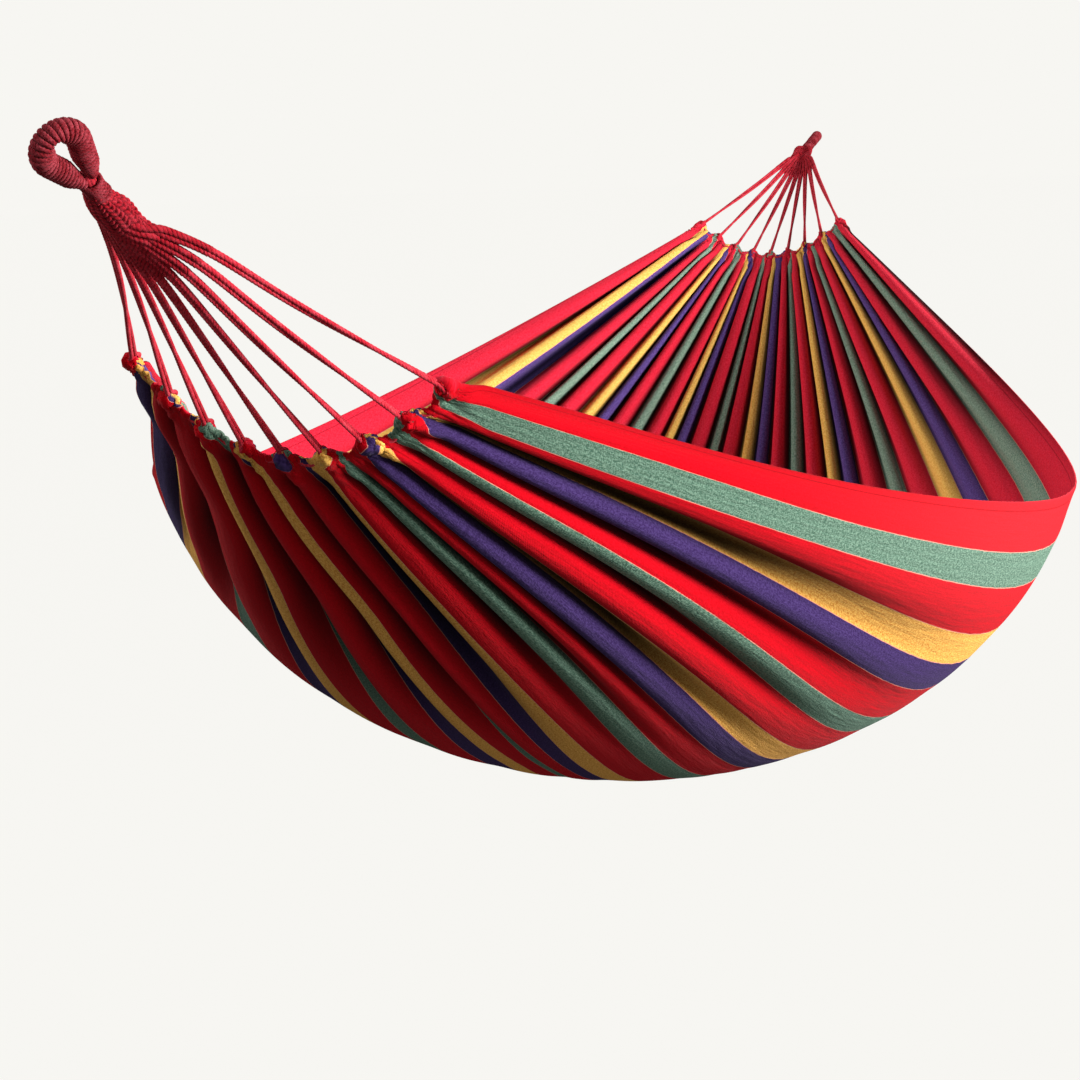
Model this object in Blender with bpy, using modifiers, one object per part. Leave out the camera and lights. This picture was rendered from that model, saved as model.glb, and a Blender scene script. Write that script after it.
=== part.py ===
"""Striped canvas hammock with rope clews, hung open between two hooks.

Metres, +Z up, +X from the near eye to the far eye. The origin is the point where a
hook bears in the near eye. At each end nine doubled cords run from a drawcord in the
gathered end of the cloth to a plaited fan, whose neck is whipped and ends in a bound eye.
The bed swings about the level line through the two necks while the eyes stay on their hooks.
"""

import math

import bmesh
import bpy
import numpy as np
from mathutils import Matrix

# Cloth: flat size, thickness and the number of folds that take up its width
CLOTH_WIDTH = 1.51
CANVAS_THICKNESS = 0.0016
FOLD_COUNT = 16
HEM_FOLD_DEPTH = 0.009
HEM_TAPER_SHARE = 0.10
CLOTH_ROWS = 17

# Hang: level span between the necks, and the open section halfway along
NECK_SPAN = 2.166
HALF_BEAM = 0.518
RIM_DROP = 0.358
KEEL_DROP = 0.713
SECTION_SWEEP_ANGLE = 1.405
LENGTH_FULLNESS = 2.0
BEAM_FULLNESS = 1.42
SAG_FULLNESS = 1.53
MIDDLE_ROUNDING_SHARE = 0.18

# Clews: each end's fan has its own slope, lift of the outer cords and half angle, and its eye a slope
CORD_COUNT = 9
CORD_REACH = 0.301
NEAR_SLOPE_ANGLE = 0.720
NEAR_LIFT_ANGLE = 0.220
NEAR_FAN_ANGLE = 0.452
NEAR_PULL_ANGLE = 0.60
FAR_SLOPE_ANGLE = 0.522
FAR_LIFT_ANGLE = 0.148
FAR_FAN_ANGLE = 0.357
FAR_PULL_ANGLE = 0.22
SCALLOP_DEPTH = 0.012
STRAND_DIAMETER = 0.0030
STRAND_GAP = 0.0004
DRAWCORD_DIAMETER = 0.004
KNOT_SCALE = 1.9
KNOT_LENGTH = 0.008
BIGHT_SLACK = 0.0009

# Plait: fan shaped web of worked strands with a rounded seat for the neck
PLAIT_REACH = 0.075
PLAIT_TOP = 0.002
PLAIT_COLLAR_RADIUS = 0.0095
PLAIT_THICKNESS = 0.007
PLAIT_MARGIN = 0.0012

# Eye: bundle of strands bent to a loop over a whipped neck
NECK_RADIUS = 0.0058
THROAT_RISE = 0.007
THROAT_RADIUS = 0.0100
THROAT_ROUNDING = 0.002
BUNDLE_DIAMETER = 0.0106
LEG_GAP = 0.0006
EYE_RADIUS = 0.0115
EYE_RISE = 0.021
NEAR_TWIST_ANGLE = math.radians(-48)
FAR_TWIST_ANGLE = math.radians(48)
WRAP_DIAMETER = 0.0018
TURN_GAP = 0.0005
WHIP_START = 0.010
WHIP_TURNS = 6
TAIL_BEND_FACTOR = 1.5

# Fits
CLEARANCE = 0.0003
SEAT_CLEARANCE = 0.0006

# Mesh counts
ROUND_STEPS = 16
WRAP_POINTS = 10
MEASURE_FACTOR = 4

NEAR = dict(
    name="near", side=1, slope=NEAR_SLOPE_ANGLE, lift=NEAR_LIFT_ANGLE, fan=NEAR_FAN_ANGLE, pull=NEAR_PULL_ANGLE,
    twist=NEAR_TWIST_ANGLE)
FAR = dict(
    name="far", side=-1, slope=FAR_SLOPE_ANGLE, lift=FAR_LIFT_ANGLE, fan=FAR_FAN_ANGLE, pull=FAR_PULL_ANGLE,
    twist=FAR_TWIST_ANGLE)


def unit(vectors):
    """Vectors scaled to length one along the last axis."""
    return vectors / np.linalg.norm(vectors, axis=-1, keepdims=True)


def smooth(x):
    """Ease from 0 to 1 with level ends."""
    x = np.clip(x, 0, 1)
    return x * x * (3 - 2 * x)


# Places on the hung hammock

def pull(end):
    """Unit vector from the neck out to the hook."""
    return np.array([-end["side"] * math.cos(end["pull"]), 0.0, math.sin(end["pull"])])


WRAP_TAIL = (TAIL_BEND_FACTOR + 1) * WRAP_DIAMETER
WHIP_LENGTH = WHIP_TURNS * (WRAP_DIAMETER + TURN_GAP)
SHOULDER_HEIGHT = WHIP_START + WHIP_LENGTH + 2 * WRAP_TAIL + CLEARANCE
THROAT_HEIGHT = SHOULDER_HEIGHT + THROAT_RISE
EYE_CENTRE = THROAT_HEIGHT + EYE_RISE
CHORD_SAG = math.cos(math.pi / WRAP_POINTS)
WRAP_RADIUS = (BUNDLE_DIAMETER / 2 + CLEARANCE + WRAP_DIAMETER / 2) / CHORD_SAG
WHIP_RADIUS = (NECK_RADIUS + CLEARANCE + WRAP_DIAMETER / 2) / CHORD_SAG
BEAR_HEIGHT = EYE_CENTRE + EYE_RADIUS - WRAP_RADIUS - WRAP_DIAMETER / 2
NEAR_NECK = -BEAR_HEIGHT * pull(NEAR)
NECKS = {"near": NEAR_NECK, "far": NEAR_NECK + np.array([NECK_SPAN, 0.0, 0.0])}


def cord_ray(end, across):
    """Unit vector from the neck down a cord; across runs from -1 at -Y to 1 at +Y."""
    across = np.asarray(across, float)
    turn = across * end["fan"]
    slope = end["slope"] - end["lift"] * across ** 2
    flat = np.cos(turn)
    return np.stack([end["side"] * flat * np.cos(slope), np.sin(turn), -flat * np.sin(slope)], -1)


def fan_frame(end, across):
    """Ray, sideways tangent and face normal of the fan of cords."""
    across = np.asarray(across, float)
    step = 1e-4
    ray = cord_ray(end, across)
    side = unit(cord_ray(end, across + step) - cord_ray(end, across - step))
    return ray, side, unit(np.cross(ray, side))


def scallop(across):
    """Drop of the drawcord between two cords, nothing at each cord."""
    return SCALLOP_DEPTH * np.sin(math.pi * (CORD_COUNT - 1) * (np.asarray(across) + 1) / 2) ** 2


BIGHT_RADIUS = DRAWCORD_DIAMETER / 2 + BIGHT_SLACK + STRAND_DIAMETER / 2


def cloth_end(end, across):
    """End line of the cloth: just under the drawcord, and clear of the cords' bights."""
    arc_step = CORD_REACH * 2 * end["fan"] / (CORD_COUNT - 1)
    lean = math.hypot(1, math.pi * SCALLOP_DEPTH / arc_step)
    under_drawcord = scallop(across) + lean * DRAWCORD_DIAMETER / 2
    under_bights = BIGHT_RADIUS + STRAND_DIAMETER / 2 + CANVAS_THICKNESS / 2 + CLEARANCE
    reach = CORD_REACH + np.maximum(under_drawcord, under_bights)
    return NECKS[end["name"]] + reach[..., None] * cord_ray(end, across)


def middle_section(across):
    """Open U of the cloth halfway along, a stretched arc from rim to rim."""
    sweep = SECTION_SWEEP_ANGLE
    wide = HALF_BEAM * np.sin(sweep * across) / math.sin(min(sweep, math.pi / 2))
    rise = (KEEL_DROP - RIM_DROP) * (1 - np.cos(sweep * across)) / (1 - math.cos(sweep))
    middle = NEAR_NECK + np.array([NECK_SPAN / 2, 0.0, -KEEL_DROP])
    return middle + np.stack([np.zeros_like(wide), wide, rise], -1)


def fullness(along, power):
    """Rises from 0 at both ends of the cloth to 1 halfway, round at the top."""
    offset = np.abs(2 * along - 1)
    soft = (offset ** 2 + MIDDLE_ROUNDING_SHARE ** 2) ** (power / 2)
    floor = MIDDLE_ROUNDING_SHARE ** power
    return 1 - (soft - floor) / ((1 + MIDDLE_ROUNDING_SHARE ** 2) ** (power / 2) - floor)


def bed_surface(along, across):
    """Smooth form of the bed: straight runs between the ends, sagging to the middle section."""
    along, across = np.broadcast_arrays(along, across)
    near_end = cloth_end(NEAR, across)
    far_end = cloth_end(FAR, across)
    run = near_end * (1 - along)[..., None] + far_end * along[..., None]
    sag = middle_section(across) - (near_end + far_end) / 2
    powers = (LENGTH_FULLNESS, BEAM_FULLNESS, SAG_FULLNESS)
    return run + sag * np.stack([fullness(along, power) for power in powers], -1)


def bed_folds(along, across):
    """Bed with folds that alternate across it, as deep as the cloth's spare width makes them."""
    base = bed_surface(along[:, None], across[None, :])
    down = np.gradient(base, along, axis=0)
    over = np.gradient(base, across, axis=1)
    normal = unit(np.cross(down, over))
    widths = np.linalg.norm(np.diff(base, axis=1), axis=2).sum(1)
    pitch = widths / FOLD_COUNT
    spare = np.maximum((CLOTH_WIDTH / widths) ** 2 - 1, 0)
    depth = pitch / 4 * np.sqrt(spare)
    from_end = np.minimum(along, 1 - along)
    grown = smooth(from_end / HEM_TAPER_SHARE)
    depth = HEM_FOLD_DEPTH * (1 - grown) + depth * grown
    ridge = np.where(np.arange(len(across)) % 2 == 0, 1.0, -1.0)
    return base + normal * (depth[:, None] * ridge[None, :])[..., None]


# Building blocks

def clear_scene():
    """Remove what the scene holds."""
    for item in list(bpy.data.objects):
        bpy.data.objects.remove(item, do_unlink=True)


def new_collection(name):
    """Collection linked to the scene."""
    group = bpy.data.collections.new(name)
    bpy.context.scene.collection.children.link(group)
    return group


def new_material(name, colour, roughness):
    """Plain Principled material."""
    material = bpy.data.materials.new(name)
    material.use_nodes = True
    shader = material.node_tree.nodes["Principled BSDF"]
    shader.inputs["Base Color"].default_value = (*colour, 1.0)
    shader.inputs["Roughness"].default_value = roughness
    shader.inputs["Metallic"].default_value = 0.0
    return material


def add_mesh(name, mesh, material, group):
    """Object for a mesh, shaded smooth, in a collection."""
    item = bpy.data.objects.new(name, mesh)
    if material is not None:
        mesh.materials.append(material)
    mesh.shade_smooth()
    group.objects.link(item)
    return item


def grid_faces(rows, columns, closed):
    """Quads of a grid of points; closed joins the last column to the first."""
    wrap = columns if closed else columns - 1
    row, column = np.meshgrid(np.arange(rows - 1), np.arange(wrap), indexing="ij")
    following = (column + 1) % columns
    corners = [row * columns + column, row * columns + following]
    corners += [(row + 1) * columns + following, (row + 1) * columns + column]
    return np.stack(corners, -1).reshape(-1, 4).tolist()


def add_tube(name, points, diameter, material, group, sides, widths=None):
    """Round cord along a list of points, with closed ends; widths scale it point by point."""
    curve = bpy.data.curves.new(name, "CURVE")
    curve.dimensions = "3D"
    curve.bevel_depth = diameter / 2
    curve.bevel_resolution = sides
    curve.use_fill_caps = True
    spline = curve.splines.new("POLY")
    spline.points.add(len(points) - 1)
    spline.points.foreach_set("co", np.c_[points, np.ones(len(points))].ravel())
    if widths is not None:
        spline.points.foreach_set("radius", widths)
    curve.materials.append(material)
    item = bpy.data.objects.new(name, curve)
    group.objects.link(item)
    return item


def curve_to_mesh(item):
    """The same tube as a closed mesh object, with its end caps welded on."""
    graph = bpy.context.evaluated_depsgraph_get()
    mesh = bpy.data.meshes.new_from_object(item.evaluated_get(graph))
    shape = bmesh.new()
    shape.from_mesh(mesh)
    bmesh.ops.remove_doubles(shape, verts=shape.verts, dist=1e-6)
    bmesh.ops.recalc_face_normals(shape, faces=shape.faces)
    shape.to_mesh(mesh)
    shape.free()
    name = item.name
    group = item.users_collection[0]
    place = item.matrix_world.copy()
    bpy.data.objects.remove(item, do_unlink=True)
    solid = bpy.data.objects.new(name, mesh)
    solid.matrix_world = place
    group.objects.link(solid)
    return solid


def add_boolean(item, other, operation):
    """Join another object to this one, or cut it away."""
    modifier = item.modifiers.new(operation.lower(), "BOOLEAN")
    modifier.operation = operation
    modifier.object = other


def hide_tool(item):
    """Mark a shape that only cuts or joins."""
    item.hide_render = True
    item.display_type = "WIRE"


# Bed

def build_bed(material, group):
    """The cloth: a folded sheet with its thickness."""
    along = (1 - np.cos(np.linspace(0, math.pi, CLOTH_ROWS))) / 2
    across = np.linspace(-1, 1, 2 * FOLD_COUNT + 1)
    points = bed_folds(along, across)
    mesh = bpy.data.meshes.new("canvas_bed")
    mesh.from_pydata(points.reshape(-1, 3).tolist(), [], grid_faces(*points.shape[:2], False))
    item = add_mesh("canvas_bed", mesh, material, group)
    wall = item.modifiers.new("thickness", "SOLIDIFY")
    wall.thickness = CANVAS_THICKNESS
    wall.offset = 0.0


# Clews

def build_drawcord(end, material, group):
    """Cord through the end of the cloth, scalloped between the cords, knotted at both edges."""
    marks = np.array([0.0, 0.12, 0.3, 0.5, 0.7, 0.88])
    intervals = CORD_COUNT - 1
    steps = (np.arange(intervals)[:, None] + marks[None, :]).ravel()
    across = np.append(steps, intervals) / intervals * 2 - 1
    ray, side, _ = fan_frame(end, across)
    points = NECKS[end["name"]] + ray * (CORD_REACH + scallop(across))[:, None]
    neck_out = DRAWCORD_DIAMETER + STRAND_DIAMETER / 2
    knot = np.array([neck_out, neck_out + KNOT_LENGTH * 0.3, neck_out + KNOT_LENGTH * 0.7, neck_out + KNOT_LENGTH])
    first = points[0] - side[0] * knot[::-1, None]
    last = points[-1] + side[-1] * knot[:, None]
    bulge = np.array([1.0, KNOT_SCALE, KNOT_SCALE, 0.8])
    widths = np.concatenate([bulge[::-1], np.ones(len(points)), bulge])
    path = np.concatenate([first, points, last])
    add_tube(end["name"] + "_drawcord", path, DRAWCORD_DIAMETER, material, group, 2, widths)


def cord_route(end, across):
    """Doubled cord: down from the plait, round the drawcord and up again, turned a quarter on the way."""
    ray, side, normal = fan_frame(end, across)
    neck = NECKS[end["name"]]
    turn = np.radians([0, 30, 60, 90, 120, 150, 180])
    bottom = neck + ray * CORD_REACH
    loop = [bottom + BIGHT_RADIUS * (ray * math.sin(a) + normal * math.cos(a)) for a in turn]
    half_pair = (STRAND_DIAMETER + STRAND_GAP) / 2
    shares = np.array([0.0, 0.45, 0.86])
    legs = []
    for share in shares:
        reach = PLAIT_REACH + CLEARANCE + (CORD_REACH - PLAIT_REACH) * share
        angle = math.pi / 2 * share
        legs.append((neck + ray * reach, (side * math.cos(angle) + normal * math.sin(angle)) * half_pair))
    down = [place + offset for place, offset in legs]
    up = [place - offset for place, offset in reversed(legs)]
    return np.array(down + loop + up)


def build_cords(end, material, group):
    """Nine doubled cords, numbered from -Y to +Y."""
    for number, across in enumerate(np.linspace(-1, 1, CORD_COUNT), 1):
        route = cord_route(end, float(across))
        add_tube(f"{end['name']}_cord_{number}", route, STRAND_DIAMETER, material, group, 2)


def build_plait(end, material, group, tools):
    """Fan shaped web from a round collar at the neck to a flat edge where the cords start."""
    ring = np.radians(np.arange(0, 360, 360 / (2 * ROUND_STEPS)))
    across = np.cos(ring)
    ray, side, normal = fan_frame(end, across)
    pair_half = STRAND_DIAMETER + STRAND_GAP / 2
    sections = []
    for share in np.array([0.0, 0.2, 0.5, 1.0]):
        reach = PLAIT_TOP + (PLAIT_REACH - PLAIT_TOP) * share
        widen = PLAIT_COLLAR_RADIUS * (1 - share) + (pair_half + PLAIT_MARGIN) * share
        flat = smooth(np.array(share * 1.6))
        thick = PLAIT_COLLAR_RADIUS * (1 - flat) + PLAIT_THICKNESS / 2 * flat
        bulge = np.sign(np.sin(ring)) * np.abs(np.sin(ring)) ** (1 - 0.6 * flat)
        place = ray * reach + side * (across * widen)[:, None] + normal * (bulge * thick)[:, None]
        sections.append(NECKS[end["name"]] + place)
    points = np.array(sections)
    count = len(ring)
    faces = grid_faces(len(points), count, True)
    half = count // 2
    for base, flip in ((0, False), ((len(points) - 1) * count, True)):
        for k in range(half):
            quad = [base + k, base + k + 1, base + (count - k - 1) % count, base + (count - k) % count]
            quad = list(dict.fromkeys(quad))
            faces.append(quad[::-1] if flip else quad)
    mesh = bpy.data.meshes.new(end["name"] + "_plait")
    mesh.from_pydata(points.reshape(-1, 3).tolist(), [], faces)
    shape = bmesh.new()
    shape.from_mesh(mesh)
    bmesh.ops.recalc_face_normals(shape, faces=shape.faces)
    shape.to_mesh(mesh)
    shape.free()
    item = add_mesh(end["name"] + "_plait", mesh, material, group)
    seat = bpy.data.meshes.new(end["name"] + "_neck_seat")
    shape = bmesh.new()
    seat_radius = (NECK_RADIUS + SEAT_CLEARANCE) / math.cos(math.pi / ROUND_STEPS)
    place = Matrix.Translation(NECKS[end["name"]].tolist())
    bmesh.ops.create_uvsphere(shape, u_segments=ROUND_STEPS, v_segments=10, radius=seat_radius, matrix=place)
    shape.to_mesh(seat)
    shape.free()
    cutter = add_mesh(end["name"] + "_neck_seat", seat, None, tools)
    hide_tool(cutter)
    add_boolean(item, cutter, "DIFFERENCE")


# Eyes

def eye_matrix(end):
    """Frame of an eye: origin at the neck, Z along the pull, X across the loop."""
    up = pull(end)
    level = np.array([0.0, 1.0, 0.0])
    steep = np.cross(level, up)
    across = level * math.cos(end["twist"]) + steep * math.sin(end["twist"])
    frame = np.eye(4)
    frame[:3, :3] = np.stack([across, np.cross(up, across), up], -1)
    frame[:3, 3] = NECKS[end["name"]]
    return Matrix(frame.tolist())


LEG_X = BUNDLE_DIAMETER / 2 + LEG_GAP / 2
LEG_START = THROAT_HEIGHT - BUNDLE_DIAMETER / 2


def eye_line(steps):
    """Middle line of the loop: a straight leg, a round bight and the other leg, evenly spaced."""
    rise = EYE_CENTRE - LEG_START
    far = math.hypot(LEG_X, rise)
    tangent = math.sqrt(far ** 2 - EYE_RADIUS ** 2)
    lean = math.asin(EYE_RADIUS / far) - math.atan2(LEG_X, rise)
    start = -lean
    sweep = np.linspace(start, math.pi + lean, 200)
    bight = np.stack([EYE_RADIUS * np.cos(sweep), EYE_CENTRE + EYE_RADIUS * np.sin(sweep)], -1)
    leg = np.linspace(0, 1, 100, endpoint=False)[:, None]
    foot = np.array([LEG_X, LEG_START])
    touch = foot + tangent * np.array([math.sin(lean), math.cos(lean)])
    right = foot * (1 - leg) + touch * leg
    left = (right * np.array([-1, 1]))[::-1]
    line = np.concatenate([right, bight, left])
    length = np.concatenate([[0], np.cumsum(np.linalg.norm(np.diff(line, axis=0), axis=1))])
    even = np.linspace(0, length[-1], steps)
    flat = np.stack([np.interp(even, length, line[:, k]) for k in range(2)], -1)
    return np.stack([flat[:, 0], np.zeros(steps), flat[:, 1]], -1), even


def build_eye_core(end, material, group, tools):
    """Bundle of strands: a round ended neck that flares to the throat, joined to the loop."""
    profile = [(0.0, THROAT_HEIGHT), (THROAT_RADIUS - THROAT_ROUNDING, THROAT_HEIGHT)]
    profile += [(THROAT_RADIUS, THROAT_HEIGHT - THROAT_ROUNDING), (THROAT_RADIUS, SHOULDER_HEIGHT)]
    profile += [(NECK_RADIUS, SHOULDER_HEIGHT)]
    profile += [(NECK_RADIUS * math.cos(a), -NECK_RADIUS * math.sin(a)) for a in np.radians([0, 30, 60])]
    profile += [(0.0, -NECK_RADIUS)]
    mesh = bpy.data.meshes.new(end["name"] + "_eye_core")
    points = [(r, 0.0, z) for r, z in profile]
    mesh.from_pydata(points, [(k, k + 1) for k in range(len(points) - 1)], [])
    item = add_mesh(end["name"] + "_eye_core", mesh, material, group)
    item.matrix_world = eye_matrix(end)
    turned = item.modifiers.new("turned", "SCREW")
    turned.axis = "Z"
    turned.steps = ROUND_STEPS
    turned.render_steps = ROUND_STEPS
    turned.use_merge_vertices = True
    turned.merge_threshold = 1e-5
    line, _ = eye_line(30)
    loop = add_tube(end["name"] + "_eye_loop", line, BUNDLE_DIAMETER, material, tools, 3)
    loop.matrix_world = eye_matrix(end)
    bpy.context.view_layer.update()
    loop = curve_to_mesh(loop)
    hide_tool(loop)
    add_boolean(item, loop, "UNION")


def winding(radius, turns, advances, per_turn):
    """Turns on an unrolled tube as angle and advance, each end bent lengthways and straight for a diameter."""
    turn = np.linspace(0, turns[-1], int(turns[-1] * per_turn) + 1)
    angle = 2 * math.pi * turn
    advance = np.interp(turn, turns, advances)
    bend = TAIL_BEND_FACTOR * WRAP_DIAMETER
    curl = np.radians([30, 60, 90])
    tail_angle = bend * np.sin(curl) / radius
    tail_advance = bend * (1 - np.cos(curl))
    tail_angle = np.append(tail_angle, tail_angle[-1])
    tail_advance = np.append(tail_advance, tail_advance[-1] + WRAP_DIAMETER)
    angle = np.concatenate([-tail_angle[::-1], angle, angle[-1] + tail_angle])
    advance = np.concatenate([advance[0] - tail_advance[::-1], advance, advance[-1] + tail_advance])
    return angle, advance


def least_gap(points, diameter, apart):
    """Least gap of a tube to itself, between points further apart along it than a given run."""
    run = np.concatenate([[0], np.cumsum(np.linalg.norm(np.diff(points, axis=0), axis=1))])
    spread = np.linalg.norm(points[:, None] - points[None, :], axis=2)
    spread[np.abs(run[:, None] - run[None, :]) < apart] = np.inf
    return spread.min() - diameter


def eye_binding_points(per_turn):
    """Turns round the eye's bundle, as close as the inside of its bend lets them lie."""
    line, run = eye_line(600)
    tangent = unit(np.gradient(line, run, axis=0))
    bend = np.linalg.norm(np.gradient(tangent, run, axis=0), axis=1)
    room = WRAP_RADIUS + WRAP_DIAMETER / 2 + CLEARANCE
    start = run[np.abs(line[:, 0]) >= room].min() + WRAP_TAIL
    bound = (run >= start) & (run <= run[-1] - start)
    pitch = (WRAP_DIAMETER + TURN_GAP) / (1 - WRAP_RADIUS * bend[bound])
    turns = np.concatenate([[0], np.cumsum(np.diff(run[bound]) / pitch[1:])])
    turns *= int(turns[-1]) / turns[-1]
    angle, advance = winding(WRAP_RADIUS, turns, run[bound], per_turn)
    centre = np.stack([np.interp(advance, run, line[:, k]) for k in range(3)], -1)
    tangent = unit(np.stack([np.interp(advance, run, tangent[:, k]) for k in range(3)], -1))
    level = np.array([0.0, 1.0, 0.0])
    outward = np.cross(level, tangent)
    return centre + WRAP_RADIUS * (outward * np.cos(angle)[:, None] + level * np.sin(angle)[:, None])


def whipping_points(per_turn):
    """Turns of cord round the neck."""
    start = WHIP_START + WRAP_TAIL
    angle, advance = winding(WHIP_RADIUS, [0, WHIP_TURNS], [start, start + WHIP_LENGTH], per_turn)
    return np.stack([WHIP_RADIUS * np.cos(angle), WHIP_RADIUS * np.sin(angle), advance], -1)


def build_windings(end, material, group):
    """Binding of the eye and whipping of the neck, each one unbroken cord."""
    kinds = (("eye_binding", eye_binding_points, WRAP_RADIUS), ("neck_whipping", whipping_points, WHIP_RADIUS))
    for kind, route, radius in kinds:
        name = f"{end['name']}_{kind}"
        item = add_tube(name, route(WRAP_POINTS), WRAP_DIAMETER, material, group, 1)
        item.matrix_world = eye_matrix(end)
        gap = least_gap(route(WRAP_POINTS * MEASURE_FACTOR), WRAP_DIAMETER, math.pi * radius)
        print(f"{name}: least gap to itself {gap * 1000:.2f} mm")


def build_hammock():
    """All pieces, in the order of assembly."""
    clear_scene()
    parts = new_collection("striped_hammock")
    tools = new_collection("cutters")
    canvas = new_material("striped_canvas", (0.62, 0.03, 0.04), 0.9)
    cord = new_material("red_cord", (0.42, 0.02, 0.04), 0.8)
    plait = new_material("plaited_cord", (0.36, 0.015, 0.03), 0.85)
    binding = new_material("binding_cord", (0.48, 0.04, 0.06), 0.8)
    build_bed(canvas, parts)
    for end in (NEAR, FAR):
        build_drawcord(end, cord, parts)
        build_cords(end, cord, parts)
        build_plait(end, plait, parts, tools)
        build_eye_core(end, cord, parts, tools)
        build_windings(end, binding, parts)


build_hammock()
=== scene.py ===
"""Striped canvas hammock with rope clews, hung open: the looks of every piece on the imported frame."""
import math

import bpy
import numpy as np
from mathutils import Matrix


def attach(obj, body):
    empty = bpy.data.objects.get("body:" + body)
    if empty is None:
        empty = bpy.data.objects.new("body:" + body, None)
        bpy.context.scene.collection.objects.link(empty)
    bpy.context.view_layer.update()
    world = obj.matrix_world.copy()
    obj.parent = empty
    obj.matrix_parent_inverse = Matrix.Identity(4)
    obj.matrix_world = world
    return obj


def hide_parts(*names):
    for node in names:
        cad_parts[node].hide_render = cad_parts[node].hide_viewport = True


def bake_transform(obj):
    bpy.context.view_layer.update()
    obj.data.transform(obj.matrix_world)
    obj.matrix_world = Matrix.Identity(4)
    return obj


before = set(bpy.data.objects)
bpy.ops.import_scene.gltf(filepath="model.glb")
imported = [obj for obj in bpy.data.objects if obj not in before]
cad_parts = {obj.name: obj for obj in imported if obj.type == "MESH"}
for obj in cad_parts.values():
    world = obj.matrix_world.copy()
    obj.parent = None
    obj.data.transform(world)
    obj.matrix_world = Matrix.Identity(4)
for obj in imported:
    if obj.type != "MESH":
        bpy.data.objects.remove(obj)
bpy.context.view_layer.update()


# Canvas bed
# One woven cotton cloth with stripes along it, double width, with selvages at its sides.
# Its ends are turned over to tunnels, and each is bunched on a drawcord that nine cords hold up.

NECKS = {"near": np.array([0.05356, 0.0, -0.03665]), "far": np.array([2.21956, 0.0, -0.03665])}
CLEWS = {
    "near": dict(
        side=1, slope=0.720, lift=0.195, tilt=0.040, fan=0.452, bow=0.0072, lean=0.0085,
        pull=0.60, twist=math.radians(-48)),
    "far": dict(
        side=-1, slope=0.522, lift=0.148, tilt=0.0, fan=0.357, bow=0.0030, lean=0.0,
        pull=0.22, twist=math.radians(48)),
}
CORD_COUNT = 9
CORD_REACH = 0.301
SCALLOP_DEPTH = 0.012
CLOTH_WIDTH = 1.51
CLOTH_LENGTH = 2.00
RED_STRIPE = 0.058
NARROW_STRIPE = 0.042
STRIPE_REPEAT = 0.242
HALF_BEAM = 0.518
KEEL_DROP = 0.713
RIM_RISE = 0.355
SECTION_SWEEP = 1.405
MIDDLE_ROUNDING = 0.18
LENGTH_FULLNESS = 2.0
BEAM_FULLNESS = 1.42
SAG_FULLNESS = 1.53
CLOTH_HALF = 0.0007
TUNNEL_HALF = 0.0022
SELVAGE_HALF = 0.0015
HEM_TOP = 0.0065
ACROSS_STEPS = 440
ALONG_STEPS = 100


def unit(vectors):
    """Vectors scaled to length one along the last axis."""
    return vectors / np.linalg.norm(vectors, axis=-1, keepdims=True)


def smooth(x):
    """Ease from 0 to 1 with level ends: three squares less two cubes."""
    x = np.clip(x, 0, 1)
    return x * x * (3 - 2 * x)


def cord_ray(end, across):
    """Unit vector from the neck down a cord: it turns sideways in step with across, -1 to 1, and its
    slope eases with the square of across and tips the near fan to its low side."""
    clew = CLEWS[end]
    across = np.asarray(across, float)
    turn = across * clew["fan"]
    slope = clew["slope"] - clew["lift"] * across ** 2 - clew["tilt"] * across
    flat = np.cos(turn)
    return np.stack([clew["side"] * flat * np.cos(slope), np.sin(turn), -flat * np.sin(slope)], -1)


def fan_frame(end, across):
    """Ray, sideways tangent and face normal of the fan of cords."""
    step = 1e-4
    ray = cord_ray(end, across)
    side = unit(cord_ray(end, np.asarray(across) + step) - cord_ray(end, np.asarray(across) - step))
    return ray, side, unit(np.cross(ray, side))


def fan_spread(end, across, reach):
    """How far a cord stands sideways of its straight line from the neck: a wide bell along it that
    spreads the outer cords, and a narrow one that moves all of them to one side."""
    clew = CLEWS[end]
    spread = across * clew["bow"] * np.exp(-((reach - 0.04) / 0.08) ** 2)
    return spread + clew["lean"] * np.exp(-((reach - 0.022) / 0.042) ** 2)


def drawcord_drop(across):
    """Sag of the drawcord between two cords: a squared sine with nothing at each cord."""
    return SCALLOP_DEPTH * np.sin(math.pi * (CORD_COUNT - 1) * (np.asarray(across) + 1) / 2) ** 2


def fullness(along, power):
    """Rise from 0 at both ends of the cloth to 1 halfway: one less a power of the offset from the
    middle, rounded at its top."""
    offset = np.abs(2 * along - 1)
    soft = (offset ** 2 + MIDDLE_ROUNDING ** 2) ** (power / 2)
    floor = MIDDLE_ROUNDING ** power
    return 1 - (soft - floor) / ((1 + MIDDLE_ROUNDING ** 2) ** (power / 2) - floor)


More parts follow.
